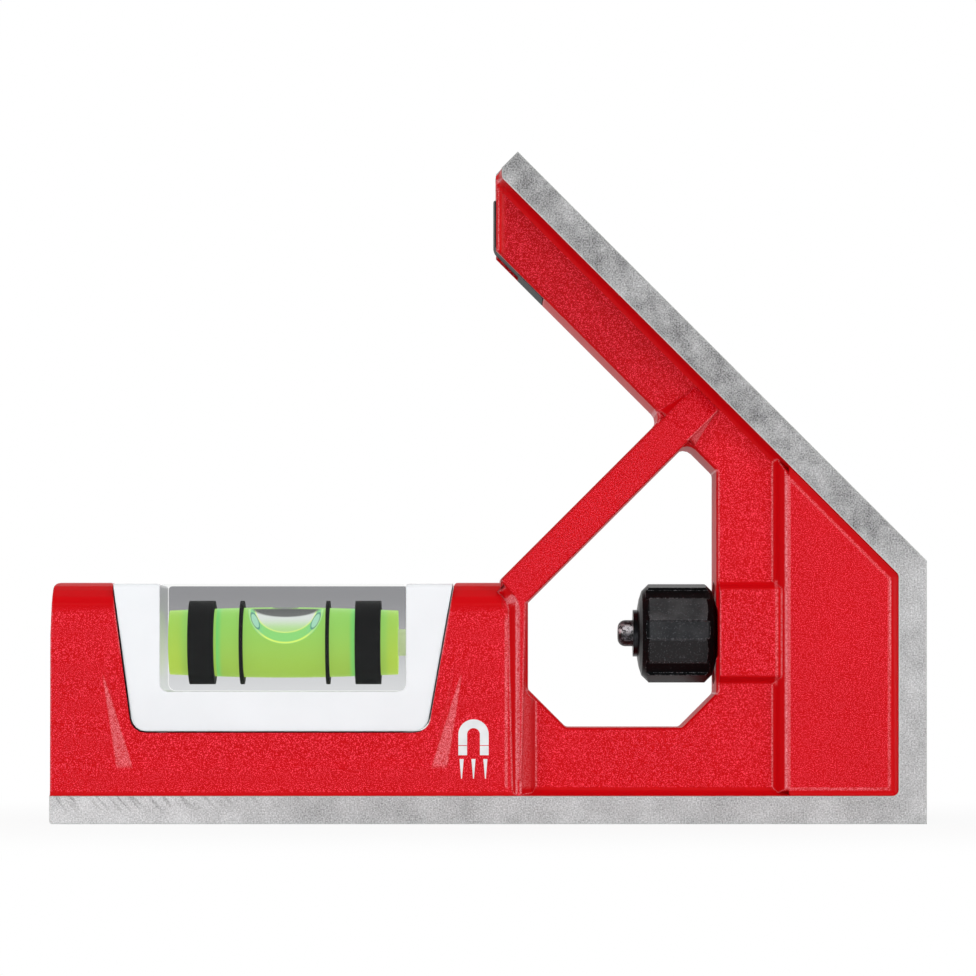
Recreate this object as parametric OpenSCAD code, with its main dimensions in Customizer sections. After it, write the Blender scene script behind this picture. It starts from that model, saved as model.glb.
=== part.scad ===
// Magnetic combination square head, upright on its base face.
// X runs along the base to the rule end, Y from front to back, Z up.
// The origin is at the middle of the base face, and the head is alike front and back.

/* [Ground faces] */
// Length of the base face
base_len = 125; // [118:1:135]
// Thickness of the head across its ground bands
head_t = 20; // [19:0.5:24]
// Height of the ground band along the base
base_band = 4; // [3:0.1:5]
// Width of the ground band at the short rule edge
edge_band = 4; // [3:0.1:5]
// Height of the short edge that stands on the base at the rule end
edge_h = 37.5; // [36:0.5:42]
// Length of the 45 degree mitre face
mitre_len = 82.4; // [78:0.2:90]
// Width of the ground band along the mitre face
mitre_band = 4.2; // [3:0.1:5]
// Radius of the inner corners of the bands
band_corner_r = 0.9; // [0.5:0.1:1.6]
// Rounding of the lower corner at the far end of the base
foot_r = 0.45; // [0.2:0.05:1]
// Width of the hollow ramp from a band down to the web
ramp_w = 1.3; // [0.8:0.05:1.5]

/* [Casting] */
// Thickness of the web and the mitre arm
web_t = 13.6; // [13:0.1:16]
// Draft of the cast side walls in degrees
draft = 1; // [0.5:0.25:2]
// Depth of the mitre arm, from the mitre face to its underside
arm_depth = 12; // [11.6:0.1:13]
// Height of the bottom bar, from the base face to the window
bar_h = 13.8; // [12.5:0.1:15]
// Width of the window between the post and the nut wall
window_w = 26.8; // [25.5:0.1:29]
// Radius of the window corners
window_r = 0.8; // [0.4:0.1:1.5]
// Thickness of the wall between the window and the rule slot
nut_wall = 9.5; // [9.2:0.05:10.5]
// Width of the 45 degree strut
strut_w = 5.1; // [4.4:0.05:6]
// Thickness across the raised strut
strut_t = 19.2; // [18.8:0.1:19.6]
// Thickness across the crest of the rib beside the window
rib_t = 19; // [18.2:0.1:19]
// Distance of the rib's crest from the window
rib_in = 1.7; // [1.2:0.1:2.2]
// Thickness across the raised pad beside the rule slot
pad_t = 18.4; // [17:0.1:19]
// Thickness across the boss round the lock bolt
boss_t = 17.2; // [16.4:0.1:18]
// Height of the boss
boss_h = 14.5; // [14:0.1:17]
// Width of the boss's sloped sides
boss_slope = 1.1; // [0.8:0.1:1.6]
// Width of the slope from the web up to the pad
slope_w = 1.9; // [1:0.1:2]
// Width of the cove between the pad and the bands
pad_cove = 0.9; // [0.5:0.1:1.2]

/* [Base arm] */
// Height of the base arm's top edge
arm_h = 34.5; // [33:0.1:38]
// Thickness of the base arm at its foot
arm_foot_t = 17.9; // [17.6:0.1:18.6]
// Thickness of the base arm at its shoulder
arm_head_t = 16.6; // [16:0.1:17.4]
// Width of the cove along the base arm's foot
foot_cove = 1; // [0.6:0.1:1.4]
// Rounding of the base arm's upper end corner
arm_end_r = 0.9; // [0.4:0.1:1.6]
// Radius of the base arm's rounded shoulders
shoulder_r = 4.2; // [2:0.1:5]
// Thickness across the flat panel round the vial holder
panel_t = 16.9; // [16.6:0.1:17.4]
// Width of the sloped edge of that panel
panel_slope = 1.6; // [0.8:0.1:2.4]
// Gap between the panel's floor edge and the vial pocket
panel_margin = 3.8; // [2:0.1:5]

/* [Vial] */
// Distance from the left end of the base to the middle of the vial pocket
vial_x = 33.2; // [32:0.1:36]
// Width of the vial pocket at the top edge of the arm
pocket_w = 49; // [46:0.2:52]
// Height of the vial pocket's floor above the base face
pocket_z = 13; // [11:0.1:14.5]
// Lean of the pocket's left side over its height
pocket_lean_l = 2.9; // [1:0.1:5]
// Lean of the pocket's right side over its height
pocket_lean_r = 3.8; // [1:0.1:5]
// Radius of the pocket's bottom corners
pocket_r = 2.3; // [1:0.1:4]
// Rounding of the pocket's mouth
mouth_r = 0.8; // [0.3:0.1:1.2]
// Gap between the pocket and the holder
holder_gap = 0.2; // [0.1:0.05:0.4]
// Rounding of the holder's top edges
holder_r = 0.8; // [0.3:0.1:1.5]
// Thickness of the vial holder
holder_t = 16.1; // [15.6:0.1:16.4]
// Length of the clear vial block
block_len = 35; // [34:0.5:38]
// Height of the clear vial block
block_h = 15.3; // [14.5:0.1:16.5]
// Thickness of the clear vial block
block_t = 15.4; // [14:0.1:15.6]
// Radius of the block's bottom corners
block_r = 1.1; // [0.5:0.1:2]
// Radius of the block's top corners
block_top_r = 0.5; // [0.2:0.1:1]
// Gap between the holder and the block
block_gap = 0.1; // [0.05:0.05:0.3]
// Distance from the block's top to the axis of the barrel
barrel_drop = 8.3; // [7.5:0.1:9]
// Diameter of the barrel in the middle
barrel_d = 10.2; // [8:0.1:11]
// Loss of diameter from the middle of the barrel to its ends
barrel_crown = 0.9; // [0.2:0.1:1.5]
// Thickness of the block beyond the barrel's closed end
barrel_wall = 0.8; // [0.5:0.1:1.5]
// Length of the plug that seals the barrel
plug_len = 1.2; // [0.8:0.1:2]
// Diameter of the sealing plug
plug_d = 3.9; // [3:0.1:6]
// Outer diameter of the bands and lines round the barrel
ring_d = 12.1; // [11.8:0.1:13]
// Width of each wide band
wide_band_w = 3.7; // [2:0.1:4.5]
// Distance between the middles of the wide bands
wide_band_gap = 24; // [22:0.1:26]
// Width of each thin line
line_w = 0.55; // [0.3:0.05:1]
// Distance between the middles of the thin lines
line_gap = 12.4; // [11:0.1:14]
// Length of the bubble
bubble_len = 10.6; // [8:0.1:11.4]
// Diameter of the bubble across its middle
bubble_d = 5.6; // [4:0.1:6.5]

/* [Clamp] */
// Depth of the rule slot, from the short edge to the slot's floor
slot_depth = 20.4; // [19:0.1:22]
// Width of the rule slot
slot_w = 2.6; // [2.2:0.1:3]
// Distance from the slot's floor to the middle of the rule's groove
groove_in = 12.7; // [12:0.1:13.5]
// Height of the bolt's axis above the base face
nut_z = 27.3; // [26:0.1:28]
// Diameter of the clamp nut
nut_d = 14.3; // [13:0.1:15]
// Length of the clamp nut
nut_len = 11.35; // [10:0.05:12.5]
// Number of lobes round the nut
nut_lobes = 7; // [5:1:9]
// Angle that one lobe takes up, in degrees
lobe_angle = 30; // [24:1:32]
// Depth of the flats between the lobes
lobe_step = 0.45; // [0.2:0.05:0.8]
// Width of the nut's end chamfers
nut_chamfer = 1.1; // [0.6:0.1:1.6]
// Rise of the nut's domed ends
nut_dome = 0.6; // [0.3:0.05:1]
// Diameter of the insert's hub
hub_d = 6.8; // [6.2:0.1:8]
// Length of hub that stands out of the nut
hub_len = 0.65; // [0.3:0.05:1.5]
// Diameter of the lock bolt's thread
bolt_d = 3.8; // [3.4:0.1:4]
// Pitch of the thread
bolt_pitch = 0.7; // [0.5:0.1:1]
// Turns of the nut from locked to free
free_turns = 1.5; // [0.5:0.25:1.5]
// Length of bolt that stands out of the hub
tip_len = 2.2; // [1:0.1:4]
// Rounding of the bolt's tip
tip_r = 1.1; // [0.4:0.1:1.6]
// Diameter of the lock bolt's head
head_d = 8; // [7:0.1:9]
// Clearance round the bolt and its head
bolt_gap = 0.2; // [0.1:0.05:0.3]
// Depth of the spot face under the nut
spot_depth = 0.4; // [0.3:0.05:0.8]
// Length of the pressed spring
spring_len = 4.4; // [3.6:0.1:5]
// Outer diameter of the spring
spring_d = 5.9; // [5.6:0.1:6.4]
// Diameter of the spring's wire
wire_d = 0.6; // [0.4:0.05:0.7]
// Number of turns of the spring
spring_turns = 5; // [3:1:6]

/* [Magnets] */
// Diameter of each base magnet
magnet_d = 10; // [6:0.5:12]
// Thickness of each base magnet
magnet_t = 4; // [2:0.5:5]
// Distance of the magnets' faces above the base face
magnet_rise = 0.3; // [0.1:0.1:0.8]
// Distance of the left magnet from the left end of the base
magnet_in_l = 22; // [12:1:30]
// Distance of the right magnet from the short edge
magnet_in_r = 48; // [40:1:56]

/* [Scriber] */
// Width of the scriber's handle, front to back
grip_w = 11.4; // [9:0.1:12]
// Thickness of the handle
grip_t = 4.7; // [4:0.1:5]
// Length of the handle along the underside of the arm
grip_len = 9.5; // [8:0.1:14]
// Length of the raised thumb pad at the handle's inner end
thumb_len = 4.9; // [4:0.1:6]
// Height that the thumb pad stands above the rest of the handle
thumb_rise = 0.45; // [0.2:0.05:0.8]
// Gap between the handle and its channel
grip_gap = 0.15; // [0.1:0.05:0.3]
// Distance that the handle's crowned end stands out of the arm
grip_out = 0.3; // [0.1:0.05:0.6]
// Diameter of the scriber's needle
needle_d = 1.8; // [1.4:0.1:2.2]
// Length of the needle beyond the handle
needle_len = 40; // [25:1:42]
// Length of the needle's point
point_len = 5; // [3:0.5:8]

/* [Hidden] */
$fn = 64;

// Small overlap that makes cuts run clean through
over = 1;
arc_steps = 4;

left_x = -base_len / 2;
right_x = base_len / 2;
tip_x = right_x - mitre_len * cos(45);
tip_z = edge_h + mitre_len * sin(45);
// Every point of the mitre face has the same x + z
mitre_sum = right_x + edge_h;
under_sum = mitre_sum - arm_depth * sqrt(2);
end_x = tip_x - mitre_band * cos(45);
// The square cut at the tip runs a little way into the ramp behind the band
band_end_x = end_x - 0.15;
arm_end_x = end_x - 0.2;

slot_x = right_x - slot_depth;
wall_x = slot_x - nut_wall;
post_x = wall_x - window_w;
// Lower face of the strut: z - x is the same at every point of it
strut_diff = edge_h - right_x + slot_depth + nut_wall + window_w - 5.83;
strut_top_diff = strut_diff + strut_w * sqrt(2);
post_top_z = post_x + strut_diff;

// Size of the window's cut lower corners
cut_l = 5.4;
cut_r = 4.85;

// End of the strut on the mitre arm, with its run up the arm, and the foot of the rib
strut_end_sum = mitre_sum - (mitre_band + 1.2) * sqrt(2);
strut_run = (strut_end_sum - under_sum) / sqrt(2);
rib_low_z = base_band - 1.5;

// The web stands this much off the strut's lines, so that the steeper draft crosses the strut's
skew = 0.2;
web_y = web_t / 2;
web_draft = web_y * tan(draft);
edge_round = 0.35;

pocket_x = left_x + vial_x;
pocket_half = pocket_w / 2;
block_top = arm_h - 0.25;
block_z = block_top - block_h;
barrel_z = block_top - barrel_drop;
barrel_x0 = pocket_x - block_len / 2 + barrel_wall;
barrel_x1 = pocket_x + block_len / 2 - plug_len;
barrel_r = barrel_d / 2;
barrel_end_r = barrel_r - barrel_crown / 2;
ring_gap = 0.05;

spot_x = wall_x + spot_depth;
seat_gap = 0.05;
nut_x1 = spot_x - seat_gap;
nut_x0 = nut_x1 - nut_len;
hub_x0 = nut_x0 - hub_len;
bolt_x0 = hub_x0 - tip_len;
thread_gap = 0.05;
bolt_travel = free_turns * bolt_pitch;
root_t = 1.2;
root_x1 = slot_x - 0.15 - bolt_travel;
root_x0 = root_x1 - root_t;
head_floor_x = root_x0 - 0.5;
spring_floor_x = spot_x + spring_len;
arm_y0 = slot_w / 2 + 0.15;
lug_w = 2;
lug_depth = 0.7;
lug_x1 = slot_x + groove_in + 1.6 - 0.05 - bolt_travel;

// Unit directions in the plane of the head: along the arm into it, and out of its underside
into = [cos(45), -sin(45)];
down = [-cos(45), -sin(45)];
grip_v = arm_depth - 0.45 - grip_t / 2;
needle_r = needle_d / 2;

function unit(v) = v / norm(v);

// The outline moved inwards by d. Outlines run anticlockwise as seen from the front.
function inset(pts, d) =
    let (n = len(pts))
    [for (i = [0:n - 1])
        let (
            u = unit(pts[i] - pts[(i + n - 1) % n]),
            v = unit(pts[(i + 1) % n] - pts[i]),
            nu = [-u[1], u[0]],
            nv = [-v[1], v[0]]
        )
        pts[i] + d * (nu + nv) / (1 + nu * nv)];

// Arc that rounds the corner b between a and c with radius r
function corner_arc(a, b, c, r) =
    let (
        u = unit(a - b),
        v = unit(c - b),
        half = acos(u * v) / 2,
        centre = b + unit(u + v) * r / sin(half),
        p = b + u * r / tan(half) - centre,
        q = b + v * r / tan(half) - centre,
        from = atan2(p[1], p[0]),
        turn = atan2(p[0] * q[1] - p[1] * q[0], p * q)
    )
    r == 0 ? [b] : [for (k = [0:arc_steps])
        centre + r * [cos(from + turn * k / arc_steps), sin(from + turn * k / arc_steps)]];

// Outline from corners given as [x, z, radius]
function rounded(corners) =
    let (n = len(corners))
    [for (i = [0:n - 1])
        let (
            a = corners[(i + n - 1) % n],
            b = corners[i],
            c = corners[(i + 1) % n]
        )
        each corner_arc([a[0], a[1]], [b[0], b[1]], [c[0], c[1]], b[2])];

// Ramp of the bands' hollow: share of its width, share of the drop to the web
ramp = [
    [0, -0.4], [0, 0], [0.05, 0.28], [0.17, 0.53], [0.34, 0.75], [0.58, 0.91], [0.85, 0.985], [1.15, 1.06]
];

// Solid through outlines with equal numbers of points, each at its own depth y.
// The first point of an end outline sees all its other points.
module stack(loops, depths) {
    n = len(loops[0]);
    m = len(loops);
    polyhedron(
        points = [for (k = [0:m - 1]) for (p = loops[k]) [p[0], depths[k], p[1]]],
        faces = concat(
            [[for (i = [0:n - 1]) (n - i) % n]],
            [for (k = [0:m - 2]) for (i = [0:n - 1])
                [k * n + i, k * n + (i + 1) % n, (k + 1) * n + (i + 1) % n, (k + 1) * n + i]],
            [[for (i = [0:n - 1]) (m - 1) * n + i]]
        ),
        convexity = 6
    );
}

// Outline in the plane of the head, made t thick about the mid-plane
module plate(pts, t) {
    rotate([90, 0, 0])
        linear_extrude(height = t, center = true)
            polygon(pts);
}

// Bar along X with a section drawn in Y and Z
module bar_along_x(x0, x1, section) {
    translate([x0, 0, 0])
        rotate([90, 0, 90])
            linear_extrude(height = x1 - x0)
                polygon(section);
}

// Rod along X at height z
module rod(x0, x1, r, z) {
    translate([x0, 0, z])
        rotate([0, 90, 0])
            cylinder(h = x1 - x0, r = r);
}

// Solid of revolution about an axis along X at height z, from points [radius, x]
module turned(profile, z) {
    translate([0, 0, z])
        rotate([0, 90, 0])
            rotate_extrude()
                polygon(profile);
}

module front_and_back() {
    children();
    mirror([0, 1, 0]) children();
}

// Slab of the web's kind: drafted both ways from the mid-plane, with its edges eased by r
module drafted(pts, half_t, slope, r) {
    eased = inset(pts, (half_t - r) * slope);
    face = inset(pts, half_t * slope + r * 0.8);
    stack([face, eased, pts, eased, face], [-half_t, r - half_t, 0, half_t - r, half_t]);
}

// Raised feature, alike front and back: its sides rise from the foot to the top inside width w
module raised(pts, foot, top, w) {
    rise = top - foot;
    face = inset(pts, w);
    edge = inset(pts, w * 0.8);
    fillet = inset(pts, w * 0.25);
    root = inset(pts, w * -0.2);
    stack(
        [face, edge, fillet, root, root, fillet, edge, face],
        [-top, rise * 0.1 - top, rise * -0.2 - foot, rise * 0.12 - foot,
            foot - rise * 0.12, foot + rise * 0.2, top - rise * 0.1, top]
    );
}

// Corner where the inner edge of the mitre band meets the inner edge of the short edge's band
inner_x = right_x - edge_band;
inner_sum = mitre_sum - mitre_band * sqrt(2);

// Floor of the bands' hollow, moved inwards by d. At the tip it turns up beside the band's end.
function band_floor(d) =
    let (
        tip_in_x = end_x + 0.7,
        floor_pts = inset([
            [left_x - 3, base_band],
            [inner_x, base_band],
            [inner_x, inner_sum - inner_x],
            [tip_in_x, inner_sum - tip_in_x],
            [tip_in_x, tip_z + over],
            [left_x - 3, tip_z + over]
        ], d),
        in_r = max(band_corner_r - d, 0.1),
        radii = [0, in_r, in_r, band_corner_r + d, 0, 0]
    )
    rounded([for (i = [0:5]) [floor_pts[i][0], floor_pts[i][1], radii[i]]]);

module ground_bands() {
    wide = ramp_w + 0.4;
    difference() {
        plate(rounded([
            [left_x, 0, foot_r],
            [right_x, 0, 0],
            [right_x, edge_h, 0],
            [tip_x, tip_z, 0],
            [band_end_x, tip_z - tip_x + band_end_x, 0],
            [band_end_x, inner_sum - wide * sqrt(2) - band_end_x, 0],
            [inner_x - wide, inner_sum - wide * sqrt(2) - inner_x + wide, 0],
            [inner_x - wide, base_band + wide, 0],
            [left_x, base_band + wide, 0]
        ]), head_t);
        front_and_back() band_hollow();
    }
}

// Hollow inside the bands: it falls steeply from the band and runs out softly in the web
module band_hollow() {
    drop = (head_t - web_t) / 2;
    stack(
        [for (s = ramp) band_floor(s[0] * ramp_w)],
        [for (s = ramp) s[1] * drop - head_t / 2]
    );
}

// It starts at the corner that sees all the others, as the ends of a stack need
function web_outline() = rounded([
    [right_x - over, edge_h - 0.4, 0],
    [end_x + 2, mitre_sum - end_x - 3.4, 0],
    [arm_end_x, inner_sum - arm_end_x, 0],
    [arm_end_x, under_sum - arm_end_x, 0],
    [(under_sum - strut_top_diff - skew) / 2, (under_sum + strut_top_diff + skew) / 2, 1.6],
    [post_x - 4.1, post_x - 4.1 + strut_top_diff + skew, 0],
    [post_x - 4.1, post_top_z - 4, 0],
    [post_x - 8, post_top_z - 4, 0],
    [post_x - 8, over, 0],
    [right_x - over, over, 0]
]);

function window_outline() = rounded([
    [post_x, post_top_z + skew, window_r],
    [post_x, bar_h + cut_l, window_r],
    [post_x + cut_l, bar_h, window_r],
    [wall_x - cut_r, bar_h, window_r],
    [wall_x, bar_h + cut_r, window_r],
    [wall_x, under_sum - wall_x, window_r],
    [(under_sum - strut_diff - skew) / 2, (under_sum + strut_diff + skew) / 2, 1.6]
]);

// The window widens from the mid-plane to both faces, and its eased edge runs just past the web's face
module window_cut() {
    pts = window_outline();
    slope = -tan(draft);
    outer_y = head_t / 2 + 0.1;
    face_y = web_y + 0.06;
    eased_y = web_y - edge_round;
    outer = inset(pts, slope * outer_y - edge_round);
    face = inset(pts, slope * face_y - edge_round);
    eased = inset(pts, slope * eased_y);
    stack(
        [outer, face, eased, pts, eased, face, outer],
        [-outer_y, -face_y, -eased_y, 0, eased_y, face_y, outer_y]
    );
}

// Strut from the post to the mitre arm. Its foot bends down beside the window as the crest of the rib,
// and its far end slopes down to the web. The outline starts at the corner that sees all the others.
module strut() {
    far = (strut_end_sum - strut_diff) / 2;
    low_x = arm_h - strut_top_diff + 0.2;
    crest_x = post_x - rib_in;
    difference() {
        drafted(rounded([
            [post_x - 0.15, post_top_z - 0.15, 0],
            [far, far + strut_diff, 0],
            [(strut_end_sum - strut_top_diff) / 2, (strut_end_sum + strut_top_diff) / 2, 0],
            [low_x, low_x + strut_top_diff, 0],
            [crest_x, post_top_z + 0.1, 4],
            [crest_x, base_band + 2, 0],
            [crest_x + 0.9, base_band + 2, 0]
        ]), strut_t / 2, tan(1), 0.2);
        front_and_back() strut_slope();
    }
    front_and_back() strut_gusset();
}

// Wedge above the strut's far end, laid along the strut: it meets the face over the arm's underside
module strut_slope() {
    fall = atan((strut_t / 2 - web_y - 0.1) / strut_run);
    translate([(under_sum - strut_diff) / 2, -strut_t / 2 - 0.01, (under_sum + strut_diff) / 2])
        rotate([0, -45, 0])
            rotate([0, 0, fall])
                translate([0, -4, -10])
                    cube([20, 4, 30]);
}

// Sloped sides that carry the strut's far end down to the web
module strut_gusset() {
    side = 1.1;
    foot_y = 0.2 - web_y;
    top_y = 0.3 - strut_t / 2;
    end_y = -web_y - 0.02;
    start = under_sum + 0.6;
    stop = strut_end_sum - 0.4;
    corners = [
        [start, strut_diff - side * sqrt(2), foot_y],
        [start, strut_top_diff + side * sqrt(2), foot_y],
        [stop, strut_top_diff - 0.3, foot_y],
        [stop, strut_diff + 0.3, foot_y],
        [start, strut_diff + 0.5, top_y],
        [start, strut_top_diff - 0.5, top_y],
        [stop, strut_top_diff - 0.6, end_y],
        [stop, strut_diff + 0.6, end_y]
    ];
    polyhedron(
        points = [for (c = corners) [(c[0] - c[1]) / 2, c[2], (c[0] + c[1]) / 2]],
        faces = [
            [3, 2, 1, 0], [4, 5, 6], [4, 6, 7], [0, 1, 5, 4], [2, 3, 7, 6], [1, 2, 6], [1, 6, 5], [3, 0, 4], [3, 4, 7]
        ]
    );
}

// Sides of the rib: a steep one towards the base arm and a long one towards the web
module post_rib() {
    half = rib_t / 2;
    shape = [
        [rib_in + 1.3, -1.4, 0.2 - web_y],
        [rib_in + 1.25, -0.9, -web_y - 0.12],
        [rib_in + 1.2, -0.35, (-web_y - half) / 2],
        [rib_in + 0.95, 0.15, 0.9 - half],
        [rib_in + 0.5, 0.7, 0.42 - half],
        [rib_in + 0.15, 1.02, 0.1 - half],
        [rib_in - 0.08, rib_in - 0.4, -half]
    ];
    front_and_back()
        stack(
            [for (k = [6:-1:0]) rib_loop(post_x - shape[k][0], post_x - shape[k][1])],
            [for (k = [6:-1:0]) shape[k][2]]
        );
}

// Outline of the rib between its left and right side, with its top under the strut
function rib_loop(x0, x1) = rounded([
    [x1, post_top_z + 1.5, 0],
    [x0 - 1.6, x0 - 1.6 + strut_top_diff - 1.2, 0],
    [x0, post_top_z + 0.6, 3],
    [x0, rib_low_z, 0],
    [x1, rib_low_z, 0]
]);

// Section of the base arm: a cove at its foot, a face that leans in and a rounded shoulder
module base_arm() {
    foot_y = arm_foot_t / 2;
    head_y = arm_head_t / 2;
    rise = head_t / 2 - 0.2 - foot_y;
    steps = 6;
    top_z = arm_h + 0.05;
    cove = [for (k = [0:4])
        [foot_y + rise * (1 - sin(22.5 * k)), base_band - 0.1 + foot_cove * (1 - cos(22.5 * k))]];
    arc = [for (k = [0:steps])
        [
            head_y - shoulder_r + shoulder_r * cos(90 * k / steps),
            top_z - shoulder_r + shoulder_r * sin(90 * k / steps)
        ]];
    half = concat([[foot_y + rise, over]], cove, arc);
    last = len(half) - 1;
    intersection() {
        bar_along_x(left_x - over, post_x - 1.8, concat(
            half,
            [for (k = [last:-1:0]) [-half[k][0], half[k][1]]]
        ));
        plate(arm_profile(), head_t);
    }
}

// Side view of the base arm: its end leans in a little below a rounded corner
function arm_profile() = rounded([
    [left_x, base_band - 2, 0],
    [post_x, base_band - 2, 0],
    [post_x, arm_h, 0],
    [left_x + 0.3, arm_h, arm_end_r],
    [left_x, arm_h - 7.5, 0]
]);

// The panel is flat, so it runs out where the tilted face of the arm falls below it
module panel_cut() {
    foot_z = pocket_z - panel_margin;
    reach_l = pocket_half - pocket_lean_l + 0.8;
    reach_r = pocket_half - pocket_lean_r + 0.8;
    rise = arm_h - foot_z + 2;
    floor_pts = rounded([
        [pocket_x - reach_l, foot_z, 1],
        [pocket_x + reach_r, foot_z, 1],
        [pocket_x + reach_r + rise * 0.21, foot_z + rise, 0],
        [pocket_x - reach_l - rise * 0.2, foot_z + rise, 0]
    ]);
    deep = panel_t / 2;
    front_and_back()
        stack(
            [inset(floor_pts, -panel_slope * 1.4), inset(floor_pts, -panel_slope), floor_pts],
            [-deep - 1.1, -arm_foot_t / 2, -deep]
        );
}

// Bottom and sides shared by the pocket and the holder, between any two top corners
function pocket_shape(top) = rounded(concat(
    [
        [pocket_x - pocket_half + pocket_lean_l, pocket_z, pocket_r],
        [pocket_x + pocket_half - pocket_lean_r, pocket_z, pocket_r]
    ],
    top
));

// The pocket's mouth flares over rounded corners and runs out above the arm
function pocket_outline() = pocket_shape([
    [pocket_x + pocket_half, arm_h, mouth_r],
    [pocket_x + pocket_half + 4, arm_h + 0.6, 0],
    [pocket_x - pocket_half - 4, arm_h + 0.6, 0],
    [pocket_x - pocket_half, arm_h, mouth_r]
]);

// Raised pad beside the rule slot, with a long slope at its left and a cove towards the bands
module pad() {
    half = pad_t / 2;
    rise = half - web_y;
    shape = [
        [1, 1, half],
        [0.8, 0.72, half - rise * 0.08],
        [0.45, 0.42, half - rise * 0.4],
        [0.2, 0.2, web_y + rise * 0.2],
        [-0.15, 0, web_y - 0.2]
    ];
    order = [0, 1, 2, 3, 4, 4, 3, 2, 1, 0];
    stack(
        [for (k = order) pad_loop(shape[k][0] * slope_w, shape[k][1] * pad_cove)],
        [for (j = [0:9]) (j < 5 ? -1 : 1) * shape[order[j]][2]]
    );
}

// Outline of the pad, with its left side moved in by a and its sides along the bands by b
function pad_loop(a, b) =
    let (
        x0 = slot_x - 1.3 + a,
        x1 = inner_x - 0.1 - b,
        z0 = base_band + 0.1 + b,
        top_sum = inner_sum - 0.15 - b * sqrt(2),
        r = band_corner_r + 0.2
    )
    rounded([[x0, z0, 0], [x1, z0, r], [x1, top_sum - x1, r], [x0, top_sum - x0, 0]]);

module boss() {
    half = boss_h / 2;
    left = wall_x - 0.5 - boss_slope;
    right = slot_x + slope_w * 0.6;
    raised(
        [[left, nut_z - half], [right, nut_z - half], [right, nut_z + half], [left, nut_z + half]],
        web_y, boss_t / 2, boss_slope
    );
}

// Box laid along the mitre arm: s runs into the arm from its tip, v down from the mitre face
module arm_box(s0, s1, v0, v1, w) {
    translate([tip_x, 0, tip_z])
        rotate([0, 45, 0])
            translate([s0, -w / 2, -v1])
                cube([s1 - s0, w, v1 - v0]);
}

// Round bore or rod laid along the mitre arm
module arm_rod(s0, s1, v, r) {
    translate([tip_x, 0, tip_z])
        rotate([0, 45, 0])
            translate([s0, 0, -v])
                rotate([0, 90, 0])
                    cylinder(h = s1 - s0, r = r);
}

// Where the arm's upright end crosses the underside, measured along the arm from the tip
corner_s = ([arm_end_x, under_sum - arm_end_x] - [tip_x, tip_z]) * into;
grip_s1 = corner_s + grip_len;
grip_v0 = grip_v - grip_t / 2;
grip_v1 = grip_v + grip_t / 2;

module scriber_cut() {
    arm_box(-20, grip_s1 + grip_gap, grip_v0 - grip_gap, arm_depth + over, grip_w + 2 * grip_gap);
    arm_rod(grip_s1 - over, grip_s1 + needle_len + 1, grip_v, needle_r + grip_gap);
}

module head_casting() {
    color([0.84, 0.12, 0.17])
        difference() {
            union() {
                ground_bands();
                difference() {
                    drafted(web_outline(), web_y, tan(draft), edge_round);
                    window_cut();
                }
                difference() {
                    union() {
                        base_arm();
                        post_rib();
                    }
                    window_cut();
                    panel_cut();
                }
                strut();
                pad();
                difference() {
                    boss();
                    window_cut();
                }
            }
            // Vial pocket, open at the top
            plate(pocket_outline(), head_t + over);
            // Rule slot, through the base face, the short edge and the mitre face
            translate([slot_x, -slot_w / 2, -over])
                cube([slot_depth + over, slot_w, mitre_sum]);
            // Bore for the bolt's head, small bore, spring bore and spot face
            rod(head_floor_x, right_x + over, head_d / 2 + bolt_gap, nut_z);
            rod(spot_x, head_floor_x + over, bolt_d / 2 + bolt_gap, nut_z);
            rod(spot_x, spring_floor_x, spring_d / 2 + 0.2, nut_z);
            rod(wall_x - over, spot_x, nut_d / 2 + 0.3, nut_z);
            for (x = [left_x + magnet_in_l, right_x - magnet_in_r])
                translate([x, 0, -over])
                    cylinder(h = magnet_t + magnet_rise + over, d = magnet_d);
            scriber_cut();
        }
}

module vial_holder() {
    color([0.96, 0.96, 0.96])
        difference() {
            intersection() {
                plate(inset(holder_outline(), holder_gap), holder_t);
                bar_along_x(pocket_x - pocket_half, pocket_x + pocket_half, holder_section());
            }
            plate(inset(recess_outline(), -block_gap), holder_t + over);
        }
}

function holder_outline() = pocket_shape([
    [pocket_x + pocket_half, arm_h, 0],
    [pocket_x - pocket_half, arm_h, 0]
]);

// Section of the holder with its rounded top edges
function holder_section() = rounded([
    [-holder_t / 2, 0, 0],
    [holder_t / 2, 0, 0],
    [holder_t / 2, arm_h - holder_gap, holder_r],
    [-holder_t / 2, arm_h - holder_gap, holder_r]
]);

function block_outline() = rounded([
    [pocket_x - block_len / 2, block_z, block_r],
    [pocket_x + block_len / 2, block_z, block_r],
    [pocket_x + block_len / 2, block_top, block_top_r],
    [pocket_x - block_len / 2, block_top, block_top_r]
]);

// The holder's recess for the block, with rounded corners at its mouth
function recess_outline() = rounded([
    [pocket_x - block_len / 2, block_z, block_r],
    [pocket_x + block_len / 2, block_z, block_r],
    [pocket_x + block_len / 2, block_top, block_top_r],
    [pocket_x + block_len / 2 + 2, block_top + 0.5, 0],
    [pocket_x - block_len / 2 - 2, block_top + 0.5, 0],
    [pocket_x - block_len / 2, block_top, block_top_r]
]);

// Barrel of the vial: widest in the middle, closed at the left, plugged at the right
function barrel_profile(grow) =
    let (steps = 12, length = barrel_x1 - barrel_x0)
    concat(
        [[0, barrel_x0 - grow]],
        [for (k = [0:steps])
            let (t = k / steps)
            [barrel_end_r + (barrel_r - barrel_end_r) * sin(180 * t) + grow,
                barrel_x0 + length * t + (k == 0 ? -grow : 0)]],
        [[0, barrel_x1]]
    );

module ring(x, w, grow) {
    rod(x - w / 2 - grow, x + w / 2 + grow, ring_d / 2 + grow, barrel_z);
}

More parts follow.
